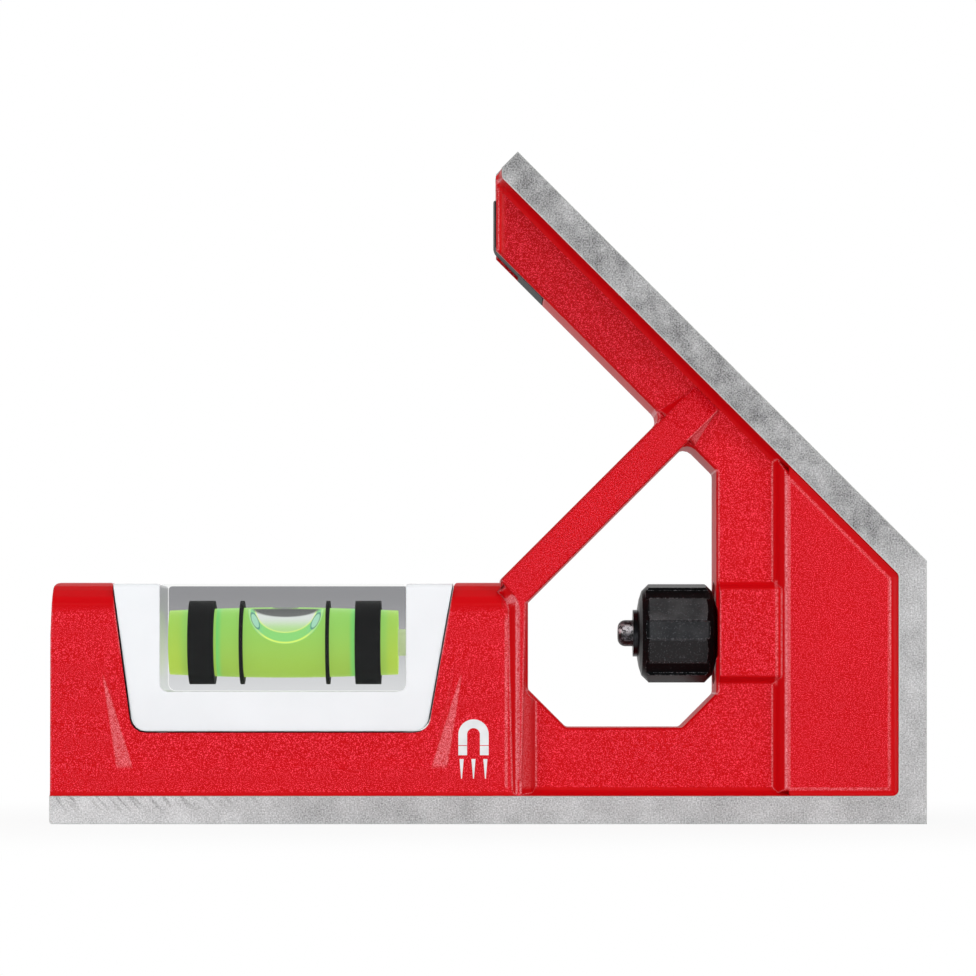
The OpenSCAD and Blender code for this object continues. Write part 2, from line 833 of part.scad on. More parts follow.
ring_centres = [-wide_band_gap / 2, -line_gap / 2, line_gap / 2, wide_band_gap / 2];
ring_widths = [wide_band_w, line_w, line_w, wide_band_w];

module vial_block() {
    color([0.75, 0.78, 0.78, 0.45])
        difference() {
            plate(block_outline(), block_t);
            turned(barrel_profile(0), barrel_z);
            rod(barrel_x1 - 0.1, barrel_x1 + plug_len + over, plug_d / 2, barrel_z);
            for (k = [0:3])
                ring(pocket_x + ring_centres[k], ring_widths[k], 0);
        }
}

module vial_liquid() {
    bubble_r = bubble_d / 2;
    steps = 10;
    color([0.62, 0.85, 0.35, 0.8])
        difference() {
            turned(barrel_profile(-0.02), barrel_z);
            turned(
                [for (k = [0:steps])
                    [bubble_r * sin(180 * k / steps), pocket_x - bubble_len / 2 * cos(180 * k / steps)]],
                barrel_z + barrel_r - bubble_r + 0.2
            );
        }
}

module vial_ring(k) {
    color([0.12, 0.12, 0.13])
        difference() {
            ring(pocket_x + ring_centres[k], ring_widths[k], -0.01);
            turned(barrel_profile(ring_gap), barrel_z);
        }
}

module vial_plug() {
    color([0.8, 0.82, 0.8])
        rod(barrel_x1, barrel_x1 + plug_len, plug_d / 2 - 0.01, barrel_z);
}

// Section of the nut: wide lobes with shallow flats between them
function nut_section() =
    let (pitch = 360 / nut_lobes, r = nut_d / 2)
    [for (k = [0:nut_lobes - 1])
        let (a = pitch * k + 29.5)
        each [
            r * [cos(a - lobe_angle / 2), sin(a - lobe_angle / 2)],
            r * [cos(a + lobe_angle / 2), sin(a + lobe_angle / 2)],
            (r - lobe_step) * [cos(a + lobe_angle / 2), sin(a + lobe_angle / 2)],
            (r - lobe_step) * [cos(a + pitch - lobe_angle / 2), sin(a + pitch - lobe_angle / 2)]
        ]];

// Envelope of the nut: chamfered ends that rise to a flat ring round the insert
module nut_envelope() {
    r = nut_d / 2 + 0.06;
    flat_r = hub_d / 2 + 0.35;
    turned([
        [0, nut_x0],
        [flat_r, nut_x0],
        [(flat_r + r - nut_chamfer) / 2, nut_x0 + nut_dome * 0.35],
        [r - nut_chamfer, nut_x0 + nut_dome],
        [r, nut_x0 + nut_dome + nut_chamfer],
        [r, nut_x1 - nut_dome - nut_chamfer],
        [r - nut_chamfer, nut_x1 - nut_dome],
        [(flat_r + r - nut_chamfer) / 2, nut_x1 - nut_dome * 0.35],
        [flat_r, nut_x1],
        [0, nut_x1]
    ], nut_z);
}

insert_hex_r = hub_d / 2;
insert_x1 = nut_x1 - 0.3;

module insert_body(grow) {
    rod(hub_x0, nut_x0 + 2.2, hub_d / 2 + grow, nut_z);
    translate([nut_x0 + 1, 0, nut_z])
        rotate([0, 90, 0])
            cylinder(h = insert_x1 - nut_x0 - 1, r = insert_hex_r + grow, $fn = 6);
}

module clamp_nut() {
    color([0.13, 0.13, 0.14])
        difference() {
            intersection() {
                nut_envelope();
                translate([nut_x0 - over, 0, nut_z])
                    rotate([90, 0, 90])
                        linear_extrude(height = nut_len + 2 * over)
                            polygon([for (p = nut_section()) [-p[0], p[1]]]);
            }
            insert_body(0);
            rod(nut_x0, nut_x1 + over, bolt_d / 2 + bolt_gap, nut_z);
        }
}

module nut_insert() {
    color([0.2, 0.2, 0.21])
        difference() {
            insert_body(-0.01);
            rod(hub_x0 - over, insert_x1 + over, bolt_d / 2 + thread_gap, nut_z);
        }
}

module lock_bolt() {
    r = bolt_d / 2;
    steps = 5;
    color([0.3, 0.3, 0.32]) {
        turned(concat(
            [[0, bolt_x0]],
            [for (k = [0:steps])
                [r - tip_r + tip_r * sin(90 * k / steps), bolt_x0 + tip_r - tip_r * cos(90 * k / steps)]],
            [[r, root_x0], [head_d / 2, root_x0], [head_d / 2, root_x1], [0, root_x1]]
        ), nut_z);
        intersection() {
            rod(root_x1 - 0.1, lug_x1, head_d / 2, nut_z);
            translate([root_x1 - 0.1, arm_y0, nut_z - head_d])
                cube([lug_x1 - root_x1 + over, head_d, 2 * head_d]);
        }
        translate([lug_x1 - lug_w, arm_y0 - lug_depth, nut_z - 2.2])
            cube([lug_w, lug_depth + 0.5, 4.4]);
    }
}

// Helical spring between the floor of its bore and the nut
module clamp_spring() {
    coil_r = (spring_d - wire_d) / 2;
    wire_r = wire_d / 2;
    x0 = spot_x + wire_r;
    pitch = (spring_len - wire_d) / spring_turns;
    rings = 14 * spring_turns;
    sides = 6;
    turn = 360 * spring_turns;
    color([0.7, 0.7, 0.72])
        polyhedron(
            points = [for (k = [0:rings])
                let (a = turn * k / rings, x = x0 + pitch * spring_turns * k / rings)
                for (j = [0:sides - 1])
                    let (b = 360 * j / sides, rr = coil_r + wire_r * cos(b))
                    [x + wire_r * sin(b), rr * cos(a), nut_z + rr * sin(a)]],
            faces = concat(
                [[for (j = [0:sides - 1]) j]],
                [for (k = [0:rings - 1]) for (j = [0:sides - 1])
                    [k * sides + j, (k + 1) * sides + j, (k + 1) * sides + (j + 1) % sides,
                        k * sides + (j + 1) % sides]],
                [[for (j = [sides - 1:-1:0]) rings * sides + j]]
            ),
            convexity = 8
        );
}

// Handle that fills the end of the arm, cut upright like the arm and slightly crowned
module scriber_handle() {
    color([0.12, 0.12, 0.13])
        difference() {
            intersection() {
                union() {
                    arm_box(-20, grip_s1, grip_v0, grip_v1, grip_w);
                    arm_box(grip_s1 - thumb_len, grip_s1, grip_v, grip_v1 + thumb_rise - 0.05, grip_w);
                }
                union() {
                    translate([arm_end_x, -head_t, 0])
                        cube([40, 2 * head_t, tip_z]);
                    translate([arm_end_x + 60 - grip_out, 0, 0])
                        cylinder(h = tip_z, r = 60, $fn = 96);
                }
            }
            arm_rod(grip_s1 - 5, grip_s1 + over, grip_v, needle_r);
        }
}

module scriber_needle() {
    color([0.75, 0.76, 0.78])
        translate([tip_x, 0, tip_z])
            rotate([0, 45, 0])
                translate([grip_s1 - 5, 0, -grip_v])
                    rotate([0, 90, 0])
                        rotate_extrude()
                            polygon([
                                [0, 0],
                                [needle_r - 0.01, 0],
                                [needle_r - 0.01, needle_len + 5 - point_len],
                                [0.1, needle_len + 5],
                                [0, needle_len + 5]
                            ]);
}

module base_magnet(x) {
    color([0.72, 0.73, 0.75])
        translate([x, 0, magnet_rise])
            cylinder(h = magnet_t, d = magnet_d);
}

module base_magnet_left() { base_magnet(left_x + magnet_in_l); }
module base_magnet_right() { base_magnet(right_x - magnet_in_r); }
module vial_band_left() { vial_ring(0); }
module vial_line_left() { vial_ring(1); }
module vial_line_right() { vial_ring(2); }
module vial_band_right() { vial_ring(3); }

head_casting();
vial_holder();
vial_block();
vial_liquid();
vial_plug();
vial_band_left();
vial_band_right();
vial_line_left();
vial_line_right();
clamp_nut();
nut_insert();
lock_bolt();
clamp_spring();
scriber_handle();
scriber_needle();
base_magnet_left();
base_magnet_right();
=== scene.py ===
import math

import bpy
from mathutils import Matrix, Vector


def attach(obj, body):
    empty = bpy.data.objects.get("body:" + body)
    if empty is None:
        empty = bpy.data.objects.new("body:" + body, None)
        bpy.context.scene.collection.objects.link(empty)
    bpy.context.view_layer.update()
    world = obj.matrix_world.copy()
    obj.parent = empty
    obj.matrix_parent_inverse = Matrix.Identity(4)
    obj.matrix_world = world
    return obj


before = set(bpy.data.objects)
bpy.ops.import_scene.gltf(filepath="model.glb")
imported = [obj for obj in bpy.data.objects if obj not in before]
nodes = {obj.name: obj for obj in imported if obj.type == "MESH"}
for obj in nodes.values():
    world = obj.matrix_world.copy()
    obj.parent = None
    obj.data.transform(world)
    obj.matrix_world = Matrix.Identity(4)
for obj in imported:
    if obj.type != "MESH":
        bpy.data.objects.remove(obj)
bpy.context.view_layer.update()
MM = 0.001

# Places on the head, in mm, that both the finishes and the added pieces go by
WINDOW_X = -29.15  # middle of the vial's window
PAD_START_X = 42.9
PAD_END_X = 58.5  # the pad ends at the inner edge of the upright ground band
PAD_END_SUM = 94.06  # x + z along the inner edge of the mitre's ground band
DIAGONAL = 0.707  # share of x + z that counts square to a slope of 45 degrees


# Finishes
class Tone:
    """A value or colour of a finish, used in plain arithmetic."""

    def __init__(self, finish, socket):
        self.finish = finish
        self.socket = socket

    def work(self, operation, *values):
        return self.finish.work(operation, *values)

    def __add__(self, other):
        return self.work("ADD", self, other)

    def __radd__(self, other):
        return self.work("ADD", other, self)

    def __sub__(self, other):
        return self.work("SUBTRACT", self, other)

    def __rsub__(self, other):
        return self.work("SUBTRACT", other, self)

    def __mul__(self, other):
        return self.work("MULTIPLY", self, other)

    def __rmul__(self, other):
        return self.work("MULTIPLY", other, self)

    def __truediv__(self, other):
        return self.work("DIVIDE", self, other)

    def __rtruediv__(self, other):
        return self.work("DIVIDE", other, self)

    def __abs__(self):
        return self.work("ABSOLUTE", self)

    def most(self, other):
        return self.work("MAXIMUM", self, other)

    def least(self, other):
        return self.work("MINIMUM", self, other)

    def above(self, low, high):
        """0 below low, 1 above high, with a soft step between."""
        return self.finish.add(
            "ShaderNodeMapRange", {"interpolation_type": "SMOOTHSTEP"}, self, low, high, 0.0, 1.0
        )

    def below(self, low, high):
        return 1 - self.above(low, high)

    def within(self, rise, full, fade, end):
        """1 from full to fade, with a soft step on either side."""
        return self.above(rise, full) * self.below(fade, end)


class Finish:
    """The nodes of a material or of the world, made one by one."""

    def __init__(self, owner, output="ShaderNodeOutputMaterial"):
        self.owner = owner
        owner.use_nodes = True
        self.tree = owner.node_tree
        self.tree.nodes.clear()
        self.output = self.tree.nodes.new(output)

    def add(self, kind, settings=None, *values, out=0, **named):
        """One node: its settings first, then what its sockets hold or are linked to."""
        node = self.tree.nodes.new(kind)
        for key, value in (settings or {}).items():
            setattr(node, key, value)
        sockets = list(enumerate(values)) + list(named.items())
        for key, value in sockets:
            socket = node.inputs[key.replace("_", " ") if isinstance(key, str) else key]
            if isinstance(value, Tone):
                self.tree.links.new(value.socket, socket)
            elif value is not None:
                socket.default_value = value
        return Tone(self, node.outputs[out])

    def work(self, operation, *values):
        return self.add("ShaderNodeMath", {"operation": operation}, *values)

    def place(self):
        return self.add("ShaderNodeTexCoord", out="Object")

    def split(self, vector):
        """x, y and z of a vector."""
        node = self.add("ShaderNodeSeparateXYZ", None, vector).socket.node
        return [Tone(self, node.outputs[k]) for k in range(3)]

    def spot(self, place):
        """x, y and z of a place, in mm."""
        return [part / MM for part in self.split(place)]

    def facing(self):
        return self.add("ShaderNodeNewGeometry", out="True Normal")

    def eased(self, radius, samples=6):
        """What the surface faces when its edges are rounded by so many mm."""
        return self.add("ShaderNodeBevel", {"samples": samples}, Radius=radius * MM)

    def match(self, first, second):
        """1 where two directions agree."""
        return self.add("ShaderNodeVectorMath", {"operation": "DOT_PRODUCT"}, first, second, out="Value")

    def ray(self, kind):
        return self.add("ShaderNodeLightPath", out=kind)

    def noise(self, place, scale, detail=2.0, roughness=0.5):
        return self.add(
            "ShaderNodeTexNoise", None, Vector=place, Scale=scale, Detail=detail, Roughness=roughness
        )

    def stretched(self, place, scale):
        return self.add("ShaderNodeMapping", None, Vector=place, Scale=scale)

    def slanted(self, x, z, angle, across, along):
        """Place turned in the plane of x and z, and then stretched."""
        run, rise = math.cos(angle), math.sin(angle)
        return self.add(
            "ShaderNodeCombineXYZ", None, (x * run + z * rise) * across, 0.0, (z * run - x * rise) * along
        )

    def blend(self, share, first, second):
        """The first colour where share is 0, the second where it is 1."""
        colours = [c if isinstance(c, Tone) else (*c, 1.0) for c in (first, second)]
        skipped = [None] * 5  # the node's sockets for plain values and vectors
        return self.add("ShaderNodeMix", {"data_type": "RGBA"}, share, *skipped, *colours, out=2)

    def bump(self, height, strength, depth, normal=None):
        """Relief so many mm deep."""
        return self.add(
            "ShaderNodeBump", None, Height=height, Strength=strength, Distance=depth * MM, Normal=normal
        )

    def surface(self, **sockets):
        return self.add("ShaderNodeBsdfPrincipled", None, **sockets)

    def see_through(self, colour):
        return self.add("ShaderNodeBsdfTransparent", None, Color=(*colour, 1.0))

    def mixed(self, share, first, second):
        return self.add("ShaderNodeMixShader", None, share, first, second)

    def finished(self, shader):
        self.tree.links.new(shader.socket, self.output.inputs["Surface"])
        return self.owner


def new_finish(name):
    return Finish(bpy.data.materials.new(name))


def ink(red, green, blue):
    """Linear colour of a screen colour given from 0 to 255."""
    return tuple(
        (c / 255 / 12.92) if c < 10.3 else ((c / 255 + 0.055) / 1.055) ** 2.4 for c in (red, green, blue)
    )


def casting_finish():
    """Textured red enamel, and bare metal on the faces that are ground."""
    f = new_finish("enamelled_casting")
    place = f.place()
    x, y, z = f.spot(place)
    depth = abs(y)
    facing = f.facing()
    facing_y = abs(f.split(facing)[1])

    # Ground faces: front and back bands, base, short edge, mitre face, their ends and the slot
    front = depth.above(9.96, 9.975)
    base = z.below(0.02, 0.05)
    edge = x.above(62.45, 62.48)
    mitre = (x + z).above(99.95, 99.98)
    band_end = x.below(-62.48, -62.45) * z.below(3.9, 4.0)
    tip_end = (z - x).above(91.48, 91.51) * x.above(0.0, 0.1)
    slot = depth.below(1.32, 1.36) * x.above(42.0, 42.06)
    ground = front.most(base).most(edge).most(mitre).most(band_end).most(tip_end).most(slot)

    # Rounded edges: how far the bevelled normal turns away from the flat one
    soft = f.eased(0.4)
    highlit_rim = f.match(soft, facing).below(0.93, 0.995)
    # Painted highlight: gentle slopes and eased edges that lean to the left or right carry a pale grainy
    # painted sheen
    soft_x, _, soft_z = f.split(soft)
    lean = abs(soft_x) - abs(soft_z) * 1.2
    painted_sheen = lean.within(0.08, 0.24, 0.45, 0.66)
    # The cove round the pad is smooth, with a fine grainy line of painted highlight inside it and another
    # where the pad starts
    inset = (PAD_END_X - x).least((PAD_END_SUM - x - z) * DIAGONAL)
    gap = inset.least(z - 3.7)
    pad = x.above(42.6, 42.7) * (1 - ground)
    cove = pad * gap.below(0.95, 1.1)
    start = abs(x - PAD_START_X).below(0.15, 0.35) * depth.above(9.0, 9.1) * gap.above(1.0, 1.2)
    highlight_lines = (abs(gap - 1.3).below(0.1, 0.3) * pad * 0.35).most(start * 0.5)
    # Beside the boss the strip next to the pad is smooth too, with a line of painted highlight at its edge,
    # and the post has another painted highlight line along its rib
    boss_zone = z.within(19.5, 20.2, 34.6, 35.0)
    strip = x.within(41.35, 41.55, 42.6, 42.7) * boss_zone
    highlight_lines = highlight_lines.most(abs(x - 41.2).below(0.1, 0.3) * boss_zone * 0.4)
    rib_highlight = abs(x - 2.6).below(0.1, 0.32) * z.within(4.8, 5.6, 28.5, 30.5)
    highlight_lines = highlight_lines.most(rib_highlight * depth.above(8.0, 8.2) * 0.55)
    # The foot of the strut beside the rib is grainy, with a painted sheen that fades away from the rib
    foot_sheen = x.within(4.7, 4.9, 4.9, 7.4) * z.above(4.8, 5.4) * z.below(17.0, 20.5)
    highlight_lines = highlight_lines.most(foot_sheen * facing_y.above(0.15, 0.3) * 0.3)
    # Painted sheen of the wedge that runs down beside each end of the holder, in place of the slope's own
    side = abs(x + 29.39)
    fall = 21.8 - z
    wedge_sheen = (abs(25.7 - side - fall * 0.235) - fall * 0.08).below(-0.15, 0.2)
    wedge_sheen = wedge_sheen * z.within(7.6, 8.8, 20.0, 21.8)
    beside = side.within(21.2, 21.4, 27.0, 27.2) * z.below(23.8, 24.4)
    outer = depth.above(8.0, 8.2)
    painted_sheen = (painted_sheen * (1 - cove) * (1 - beside * outer)).most(highlight_lines).most(wedge_sheen * outer * 0.6)

    # Smooth places: the cove, the strip, and the heads of the post and of the left arm, which round over
    heads = x.within(-6.0, -5.6, 1.8, 2.8).most(x.below(-53.0, -52.6))
    heads = z.above(29.6, 31.4) * heads * depth.below(9.2, 9.3)
    flat = facing_y.above(0.86, 0.92)
    rough_zone = flat.most(painted_sheen) * (1 - heads) * (1 - cove) * (1 - strip)

    # Textured enamel: fine grains with painted glints on the flats, a deeper red without them on slopes
    # that face up or down, and a darker red towards the top of the mitre arm
    grain = f.noise(place, 7400.0, 1.0, 0.5)
    coarse = f.noise(place, 2600.0, 1.0, 0.5)
    clouds = f.noise(place, 70.0, 3.0, 0.55)
    high = z.above(48.0, 72.0)
    red = f.blend(clouds.above(0.3, 0.7), ink(203, 1, 10), ink(208, 2, 13))
    red = f.blend(high, red, ink(176, 1, 9))
    grain_glint = f.blend(high, ink(250, 64, 84), ink(232, 56, 74))
    speckled = f.blend((grain * 0.88 + coarse * 0.12).above(0.52, 0.62), red, grain_glint)
    enamel = f.blend(rough_zone, ink(206, 2, 12), speckled)
    dots = (grain * 0.75 + coarse * 0.25).above(0.4, 0.6)
    # The painted sheen lays a pale pink painted highlight over the enamel
    enamel = f.blend(painted_sheen * (0.15 + dots * 0.75), enamel, ink(246, 150, 158))

    # Ground metal: blotchy, darker along the mitre, with slanted cutter strokes towards the left end
    strokes = f.noise(f.slanted(x, z, math.radians(42), 1.4, 0.21), 1.0, 2.0)
    blotch = f.noise(place, 360.0, 4.0, 0.6)
    fleck = f.noise(place, 4600.0, 2.0, 0.6)
    patch = f.noise(place, 110.0, 3.0, 0.55)
    along_mitre = (x + z).above(90, 94) * z.above(35, 43)
    left = x.below(-56, -20)
    upper = z.above(1.0, 4.0)
    grey = 0.53 - along_mitre * 0.15 + left * 0.12
    grey = grey + (blotch - 0.5) * (0.3 + along_mitre * 0.4) + (fleck - 0.5) * 1.1 + (patch - 0.5) * 0.3
    grey = grey - left * upper * strokes.above(0.48, 0.64) * 0.3
    metal = f.add("ShaderNodeCombineColor", None, grey, grey, grey * 1.01)
    # Its edges carry a painted highlight, and so does its border with the enamel round the pad
    border_highlight = inset.above(-0.22, -0.08) * front * z.above(4.2, 4.4)
    metal = f.blend((highlit_rim * 0.55).most(border_highlight * 0.7), metal, ink(222, 226, 222))

    # Painted shade darkens the walls of the holder's pocket, where they show through the clear block
    pocket_shade = facing_y.below(0.2, 0.3) * z.within(12.5, 12.8, 33.9, 34.1) * x.within(-54.6, -54.2, -5.0, -4.6)
    colour = f.blend(pocket_shade, f.blend(ground, enamel, metal), ink(24, 4, 6))
    height = (grain * 0.7 + coarse * 0.3) * (1 - ground) + fleck * ground * 0.5
    relief = height * (rough_zone * 0.85 + 0.15).most(ground) - heads * heads * 3.5
    return f.finished(f.surface(
        Base_Color=colour,
        Roughness=0.31 + ground * 0.21 + (1 - rough_zone) * (1 - heads) * (1 - cove) * 0.17,
        Normal=f.bump(relief, 1.0, 0.07, soft),
        Metallic=ground * 0.35,
        Specular_IOR_Level=0.13,
    ))


def plain_finish(name, colour, second, scale, roughness, relief=0.0, specular=0.5, painted_glow=0.0):
    """A moulded finish with a little colour variation and fine texture, its relief in mm, and a glow of
    painted light if painted_glow is given.
    """
    f = new_finish(name)
    place = f.place()
    patches = f.noise(place, scale, 3.0, 0.55)
    fine = f.noise(place, scale * 6, 2.0, 0.5)
    shade = f.blend(patches.above(0.3, 0.7), colour, second)
    return f.finished(f.surface(
        Base_Color=shade,
        Roughness=roughness + (fine - 0.5) * 0.12,
        Normal=f.bump(fine, 0.5, relief),
        Emission_Color=shade,
        Emission_Strength=painted_glow,
        Specular_IOR_Level=specular,
    ))


def holder_finish():
    """White moulding, with painted shade where it is buried and a grey glow of painted light on the sides
    of its window.
    """
    f = new_finish("white_moulding")
    place = f.place()
    x, _, z = f.spot(place)
    clouds = f.noise(place, 90.0, 2.0, 0.5)
    fine = f.noise(place, 2500.0, 2.0, 0.5)
    side = abs(f.split(f.facing())[1]).below(0.2, 0.3)
    from_middle = abs(x - WINDOW_X)
    # Painted shade on the outer sides that are buried in the pocket
    buried_shade = side * from_middle.above(18.4, 18.6) * z.below(33.9, 34.1)
    # Painted light: the sides of the window are grey and glow, paler towards the bottom
    glowing_side = side * from_middle.within(17.0, 17.2, 18.2, 18.4)
    shade = f.blend(clouds.above(0.3, 0.7), ink(241, 244, 247), ink(245, 248, 251))
    shade = f.blend(buried_shade, shade, ink(30, 30, 32))
    shade = f.blend(glowing_side, shade, ink(120, 121, 123))
    grey = f.blend(z.above(19, 33), ink(198, 200, 200), ink(140, 141, 143))
    return f.finished(f.surface(
        Base_Color=shade,
        Roughness=0.34 + (fine - 0.5) * 0.1,
        Normal=f.bump(fine, 0.3, 0.006, f.eased(0.25, 4)),
        Emission_Color=f.blend(glowing_side, (0.0, 0.0, 0.0), grey),
        Emission_Strength=0.8,
    ))


def acrylic_finish():
    """Clear block: what is seen right through it carries painted shade, greyer towards the top."""
    f = new_finish("clear_acrylic")
    place = f.place()
    _, y, z = f.spot(place)
    inside = f.add("ShaderNodeNewGeometry", out="Backfacing")
    broad = abs(y).above(7.6, 7.65)
    pale, darker_shade = f.see_through(ink(220, 221, 223)), f.see_through(ink(146, 146, 149))
    through = f.mixed(z.above(17, 33.5), pale, darker_shade)
    clear = f.see_through((0.97, 0.975, 0.97))
    body = f.mixed(inside * broad * (1 - f.ray("Is Shadow Ray")), clear, through)
    waves = f.noise(f.stretched(place, (60.0, 60.0, 500.0)), 1.0, 2.0)
    gloss = f.surface(Base_Color=(0.75, 0.77, 0.79, 1.0), Roughness=0.05 + waves * 0.05)
    share = f.add("ShaderNodeFresnel", None, IOR=1.45) * (1 - inside) * 0.6
    return f.finished(f.mixed(share.least(0.4), body, gloss))


def liquid_finish():
    """Bright green liquid that glows as painted light, with the bubble painted on as seen from the front
    and the back.
    """
    f = new_finish("green_liquid")
    x, _, z = f.spot(f.place())
    rise = z.above(20.5, 30.5)
    body = f.blend(rise, ink(158, 194, 76), ink(147, 206, 98))
    ends = x.below(-44.6, -43.6).most(x.above(-14.9, -14.2))
    body = f.blend(ends * (0.8 - rise * 0.4), body, ink(180, 208, 74))
    beside = abs(x - WINDOW_X).within(9.0, 9.8, 9.9, 10.0)
    body = f.blend(beside * 0.7, body, ink(104, 206, 112))

    # The bubble, painted: a cap of painted shade above a pale hollow, inside a curved rim of painted
    # highlight with small loops of painted glints at its ends
    across = (x - WINDOW_X) / 5.5
    fall = (30.95 - z) / 5.3
    wide, tall = across * across, fall * fall
    outer = f.work("SQRT", wide + tall)
    inner = f.work("SQRT", wide * 1.5 + tall * 2.1)
    cap = f.work("SQRT", wide * 1.1 + tall * 13.0)
    loop_u = abs(across) - 0.79
    loop_v = fall - 0.36
    loop_short = loop_u + loop_v * 0.45
    loop_long = loop_v - loop_u * 0.45
    loop = f.work("SQRT", loop_short * loop_short * 110.0 + loop_long * loop_long * 13.0)
    rim_glint = f.blend(abs(outer - 0.955).below(0.012, 0.035), ink(140, 212, 120), ink(216, 242, 112))
    rim_glint = f.blend(abs(across).above(0.5, 0.75) * 0.5, rim_glint, ink(120, 200, 160))
    hollow = f.blend(fall.above(0.26, 0.62), ink(214, 220, 216), ink(178, 218, 146))
    glint_lined = f.blend(abs(inner - 1.0).below(0.02, 0.06) * 0.8, hollow, ink(220, 240, 130))
    dark = f.blend(fall.above(0.0, 0.22), ink(62, 64, 64), ink(104, 106, 106))
    bubble = f.blend(inner.below(0.98, 1.02), rim_glint, glint_lined)
    bubble = f.blend(cap.below(0.84, 1.0), bubble, dark)
    bubble = f.blend(loop.below(0.72, 0.86) * 0.7, bubble, ink(172, 214, 200))
    bubble = f.blend(abs(loop - 0.92).below(0.07, 0.15) * 0.75, bubble, ink(84, 128, 136))

    facing = f.add("ShaderNodeNewGeometry", out="Normal")
    broadside = abs(f.split(facing)[1]).above(0.2, 0.35)
    shade = f.blend(outer.below(0.98, 1.0) * broadside, body, bubble)
    return f.finished(f.surface(
        Base_Color=f.blend(0.35, (0.0, 0.0, 0.0), shade),
        Roughness=0.3,
        # The liquid's colour glows as painted light
        Emission_Color=shade,
        Emission_Strength=0.86,
        Specular_IOR_Level=0.2,
    ))


def nut_finish():
    """Black moulded nut: dusty flats, glossy bevels with specks of painted glint, and edges with small
    specks of painted highlight; its front flats carry painted light and shade.
    """
    f = new_finish("black_nut")
    place = f.place()
    x, _, z = f.spot(place)
    facing = f.facing()
    soft = f.eased(0.14)
    highlit_rim = f.match(soft, facing).below(0.94, 0.998)
    fleck = f.noise(place, 4200.0, 2.0, 0.6)
    cloud = f.noise(place, 420.0, 2.0, 0.5).above(0.3, 0.7)
    facet = x.within(23.0, 23.3, 31.5, 31.8) * abs(f.split(facing)[0]).below(0.05, 0.1)
    facet = facet * z.within(22.8, 22.9, 32.2, 32.3)
    # Painted light and shade: of the three flats towards the front the upper one is painted palest and the
    # lower one darkest
    body = f.blend(cloud, ink(46, 47, 49), ink(58, 59, 61))
    body = f.blend(z.above(29.0, 29.1), body, f.blend(cloud, ink(52, 53, 54), ink(72, 72, 73)))
    body = f.blend(z.below(26.1, 26.2), body, ink(43, 43, 44))
    dusty = f.blend(fleck.above(0.56, 0.7) * 0.35, body, ink(104, 104, 108))
    # Small specks of painted glint on the glossy bevels
    glossy = f.blend(fleck.above(0.6, 0.72) * 0.3, ink(15, 16, 17), ink(70, 70, 74))
    whole = f.blend(facet, glossy, dusty)
    return f.finished(f.surface(
        # Specks of painted highlight along the rounded edges
        Base_Color=f.blend(highlit_rim * fleck.above(0.46, 0.66) * 0.75, whole, ink(150, 150, 154)),
        Roughness=0.3 + facet * 0.22,
        Normal=f.bump(fleck, 0.6, 0.02, soft),
        Specular_IOR_Level=0.05,
    ))


def steel_finish(name, dark, light, roughness):
    """Turned steel, a little stained."""
    f = new_finish(name)
    place = f.place()
    turned = f.noise(f.stretched(place, (9000.0, 500.0, 500.0)), 1.0, 2.0)
    stain = f.noise(place, 500.0, 3.0, 0.6)
    return f.finished(f.surface(
        Base_Color=f.blend((stain * 0.6 + turned * 0.4).above(0.35, 0.65), dark, light),
        Metallic=0.9,
        Roughness=roughness + (turned - 0.5) * 0.15,
        Normal=f.bump(turned, 0.4, 0.01),
    ))


def bolt_finish():
    """Dark steel whose rounded end is mottled with pale spots of painted reflection, with a band of painted
    glints just above its axis.
    """
    f = new_finish("dark_steel_bolt")
    place = f.place()
    z = f.spot(place)[2]
    mottle = f.noise(place, 1500.0, 3.0, 0.6)
    fine = f.noise(place, 5200.0, 2.0, 0.5)
    # Pale mottles of painted reflection
    shade = f.blend((mottle * 0.75 + fine * 0.25).above(0.5, 0.66), ink(20, 20, 22), ink(104, 104, 110))
    # A band of painted glints just above the bolt's axis
    lit = z.within(27.0, 27.7, 28.2, 28.7) * (mottle * 0.6 + fine * 0.4).above(0.44, 0.54)
    return f.finished(f.surface(
        Base_Color=f.blend(lit, shade, ink(226, 226, 230)),
        Metallic=0.1,
        Roughness=0.3 + mottle * 0.15,
        Normal=f.bump(fine, 0.5, 0.02),
        Specular_IOR_Level=0.3,
    ))


# The finish of every CAD node
finishes = {
    "head_casting": casting_finish(),
    "vial_holder": holder_finish(),
    "vial_block": acrylic_finish(),
    "vial_liquid": liquid_finish(),
    # The plug glows a little as painted light
    "vial_plug": plain_finish("clear_plug", ink(196, 204, 170), ink(208, 214, 184), 400.0, 0.2, painted_glow=0.3),
    "clamp_nut": nut_finish(),
    "nut_insert": steel_finish("dark_steel_hub", ink(30, 30, 32), ink(62, 62, 66), 0.3),
    "lock_bolt": bolt_finish(),
    "clamp_spring": steel_finish("spring_wire", ink(150, 150, 152), ink(200, 200, 204), 0.28),
    "scriber_handle": plain_finish(
        "black_grip", ink(7, 7, 8), ink(16, 17, 18), 500.0, 0.5, relief=0.02, specular=0.06
    ),
    "scriber_needle": steel_finish("bright_needle", ink(160, 160, 162), ink(205, 205, 208), 0.25),
}
black_print = plain_finish("black_print", ink(6, 7, 7), ink(12, 13, 13), 300.0, 0.6, specular=0.08)
nickel = steel_finish("nickel_magnet", ink(180, 178, 172), ink(214, 212, 206), 0.2)
for end in ("left", "right"):
    finishes["vial_band_" + end] = black_print
    finishes["vial_line_" + end] = black_print
    finishes["base_magnet_" + end] = nickel
for name, finish in finishes.items():
    for slot in nodes[name].material_slots:
        slot.material = finish


# Pieces
def deselect():
    bpy.ops.object.select_all(action="DESELECT")


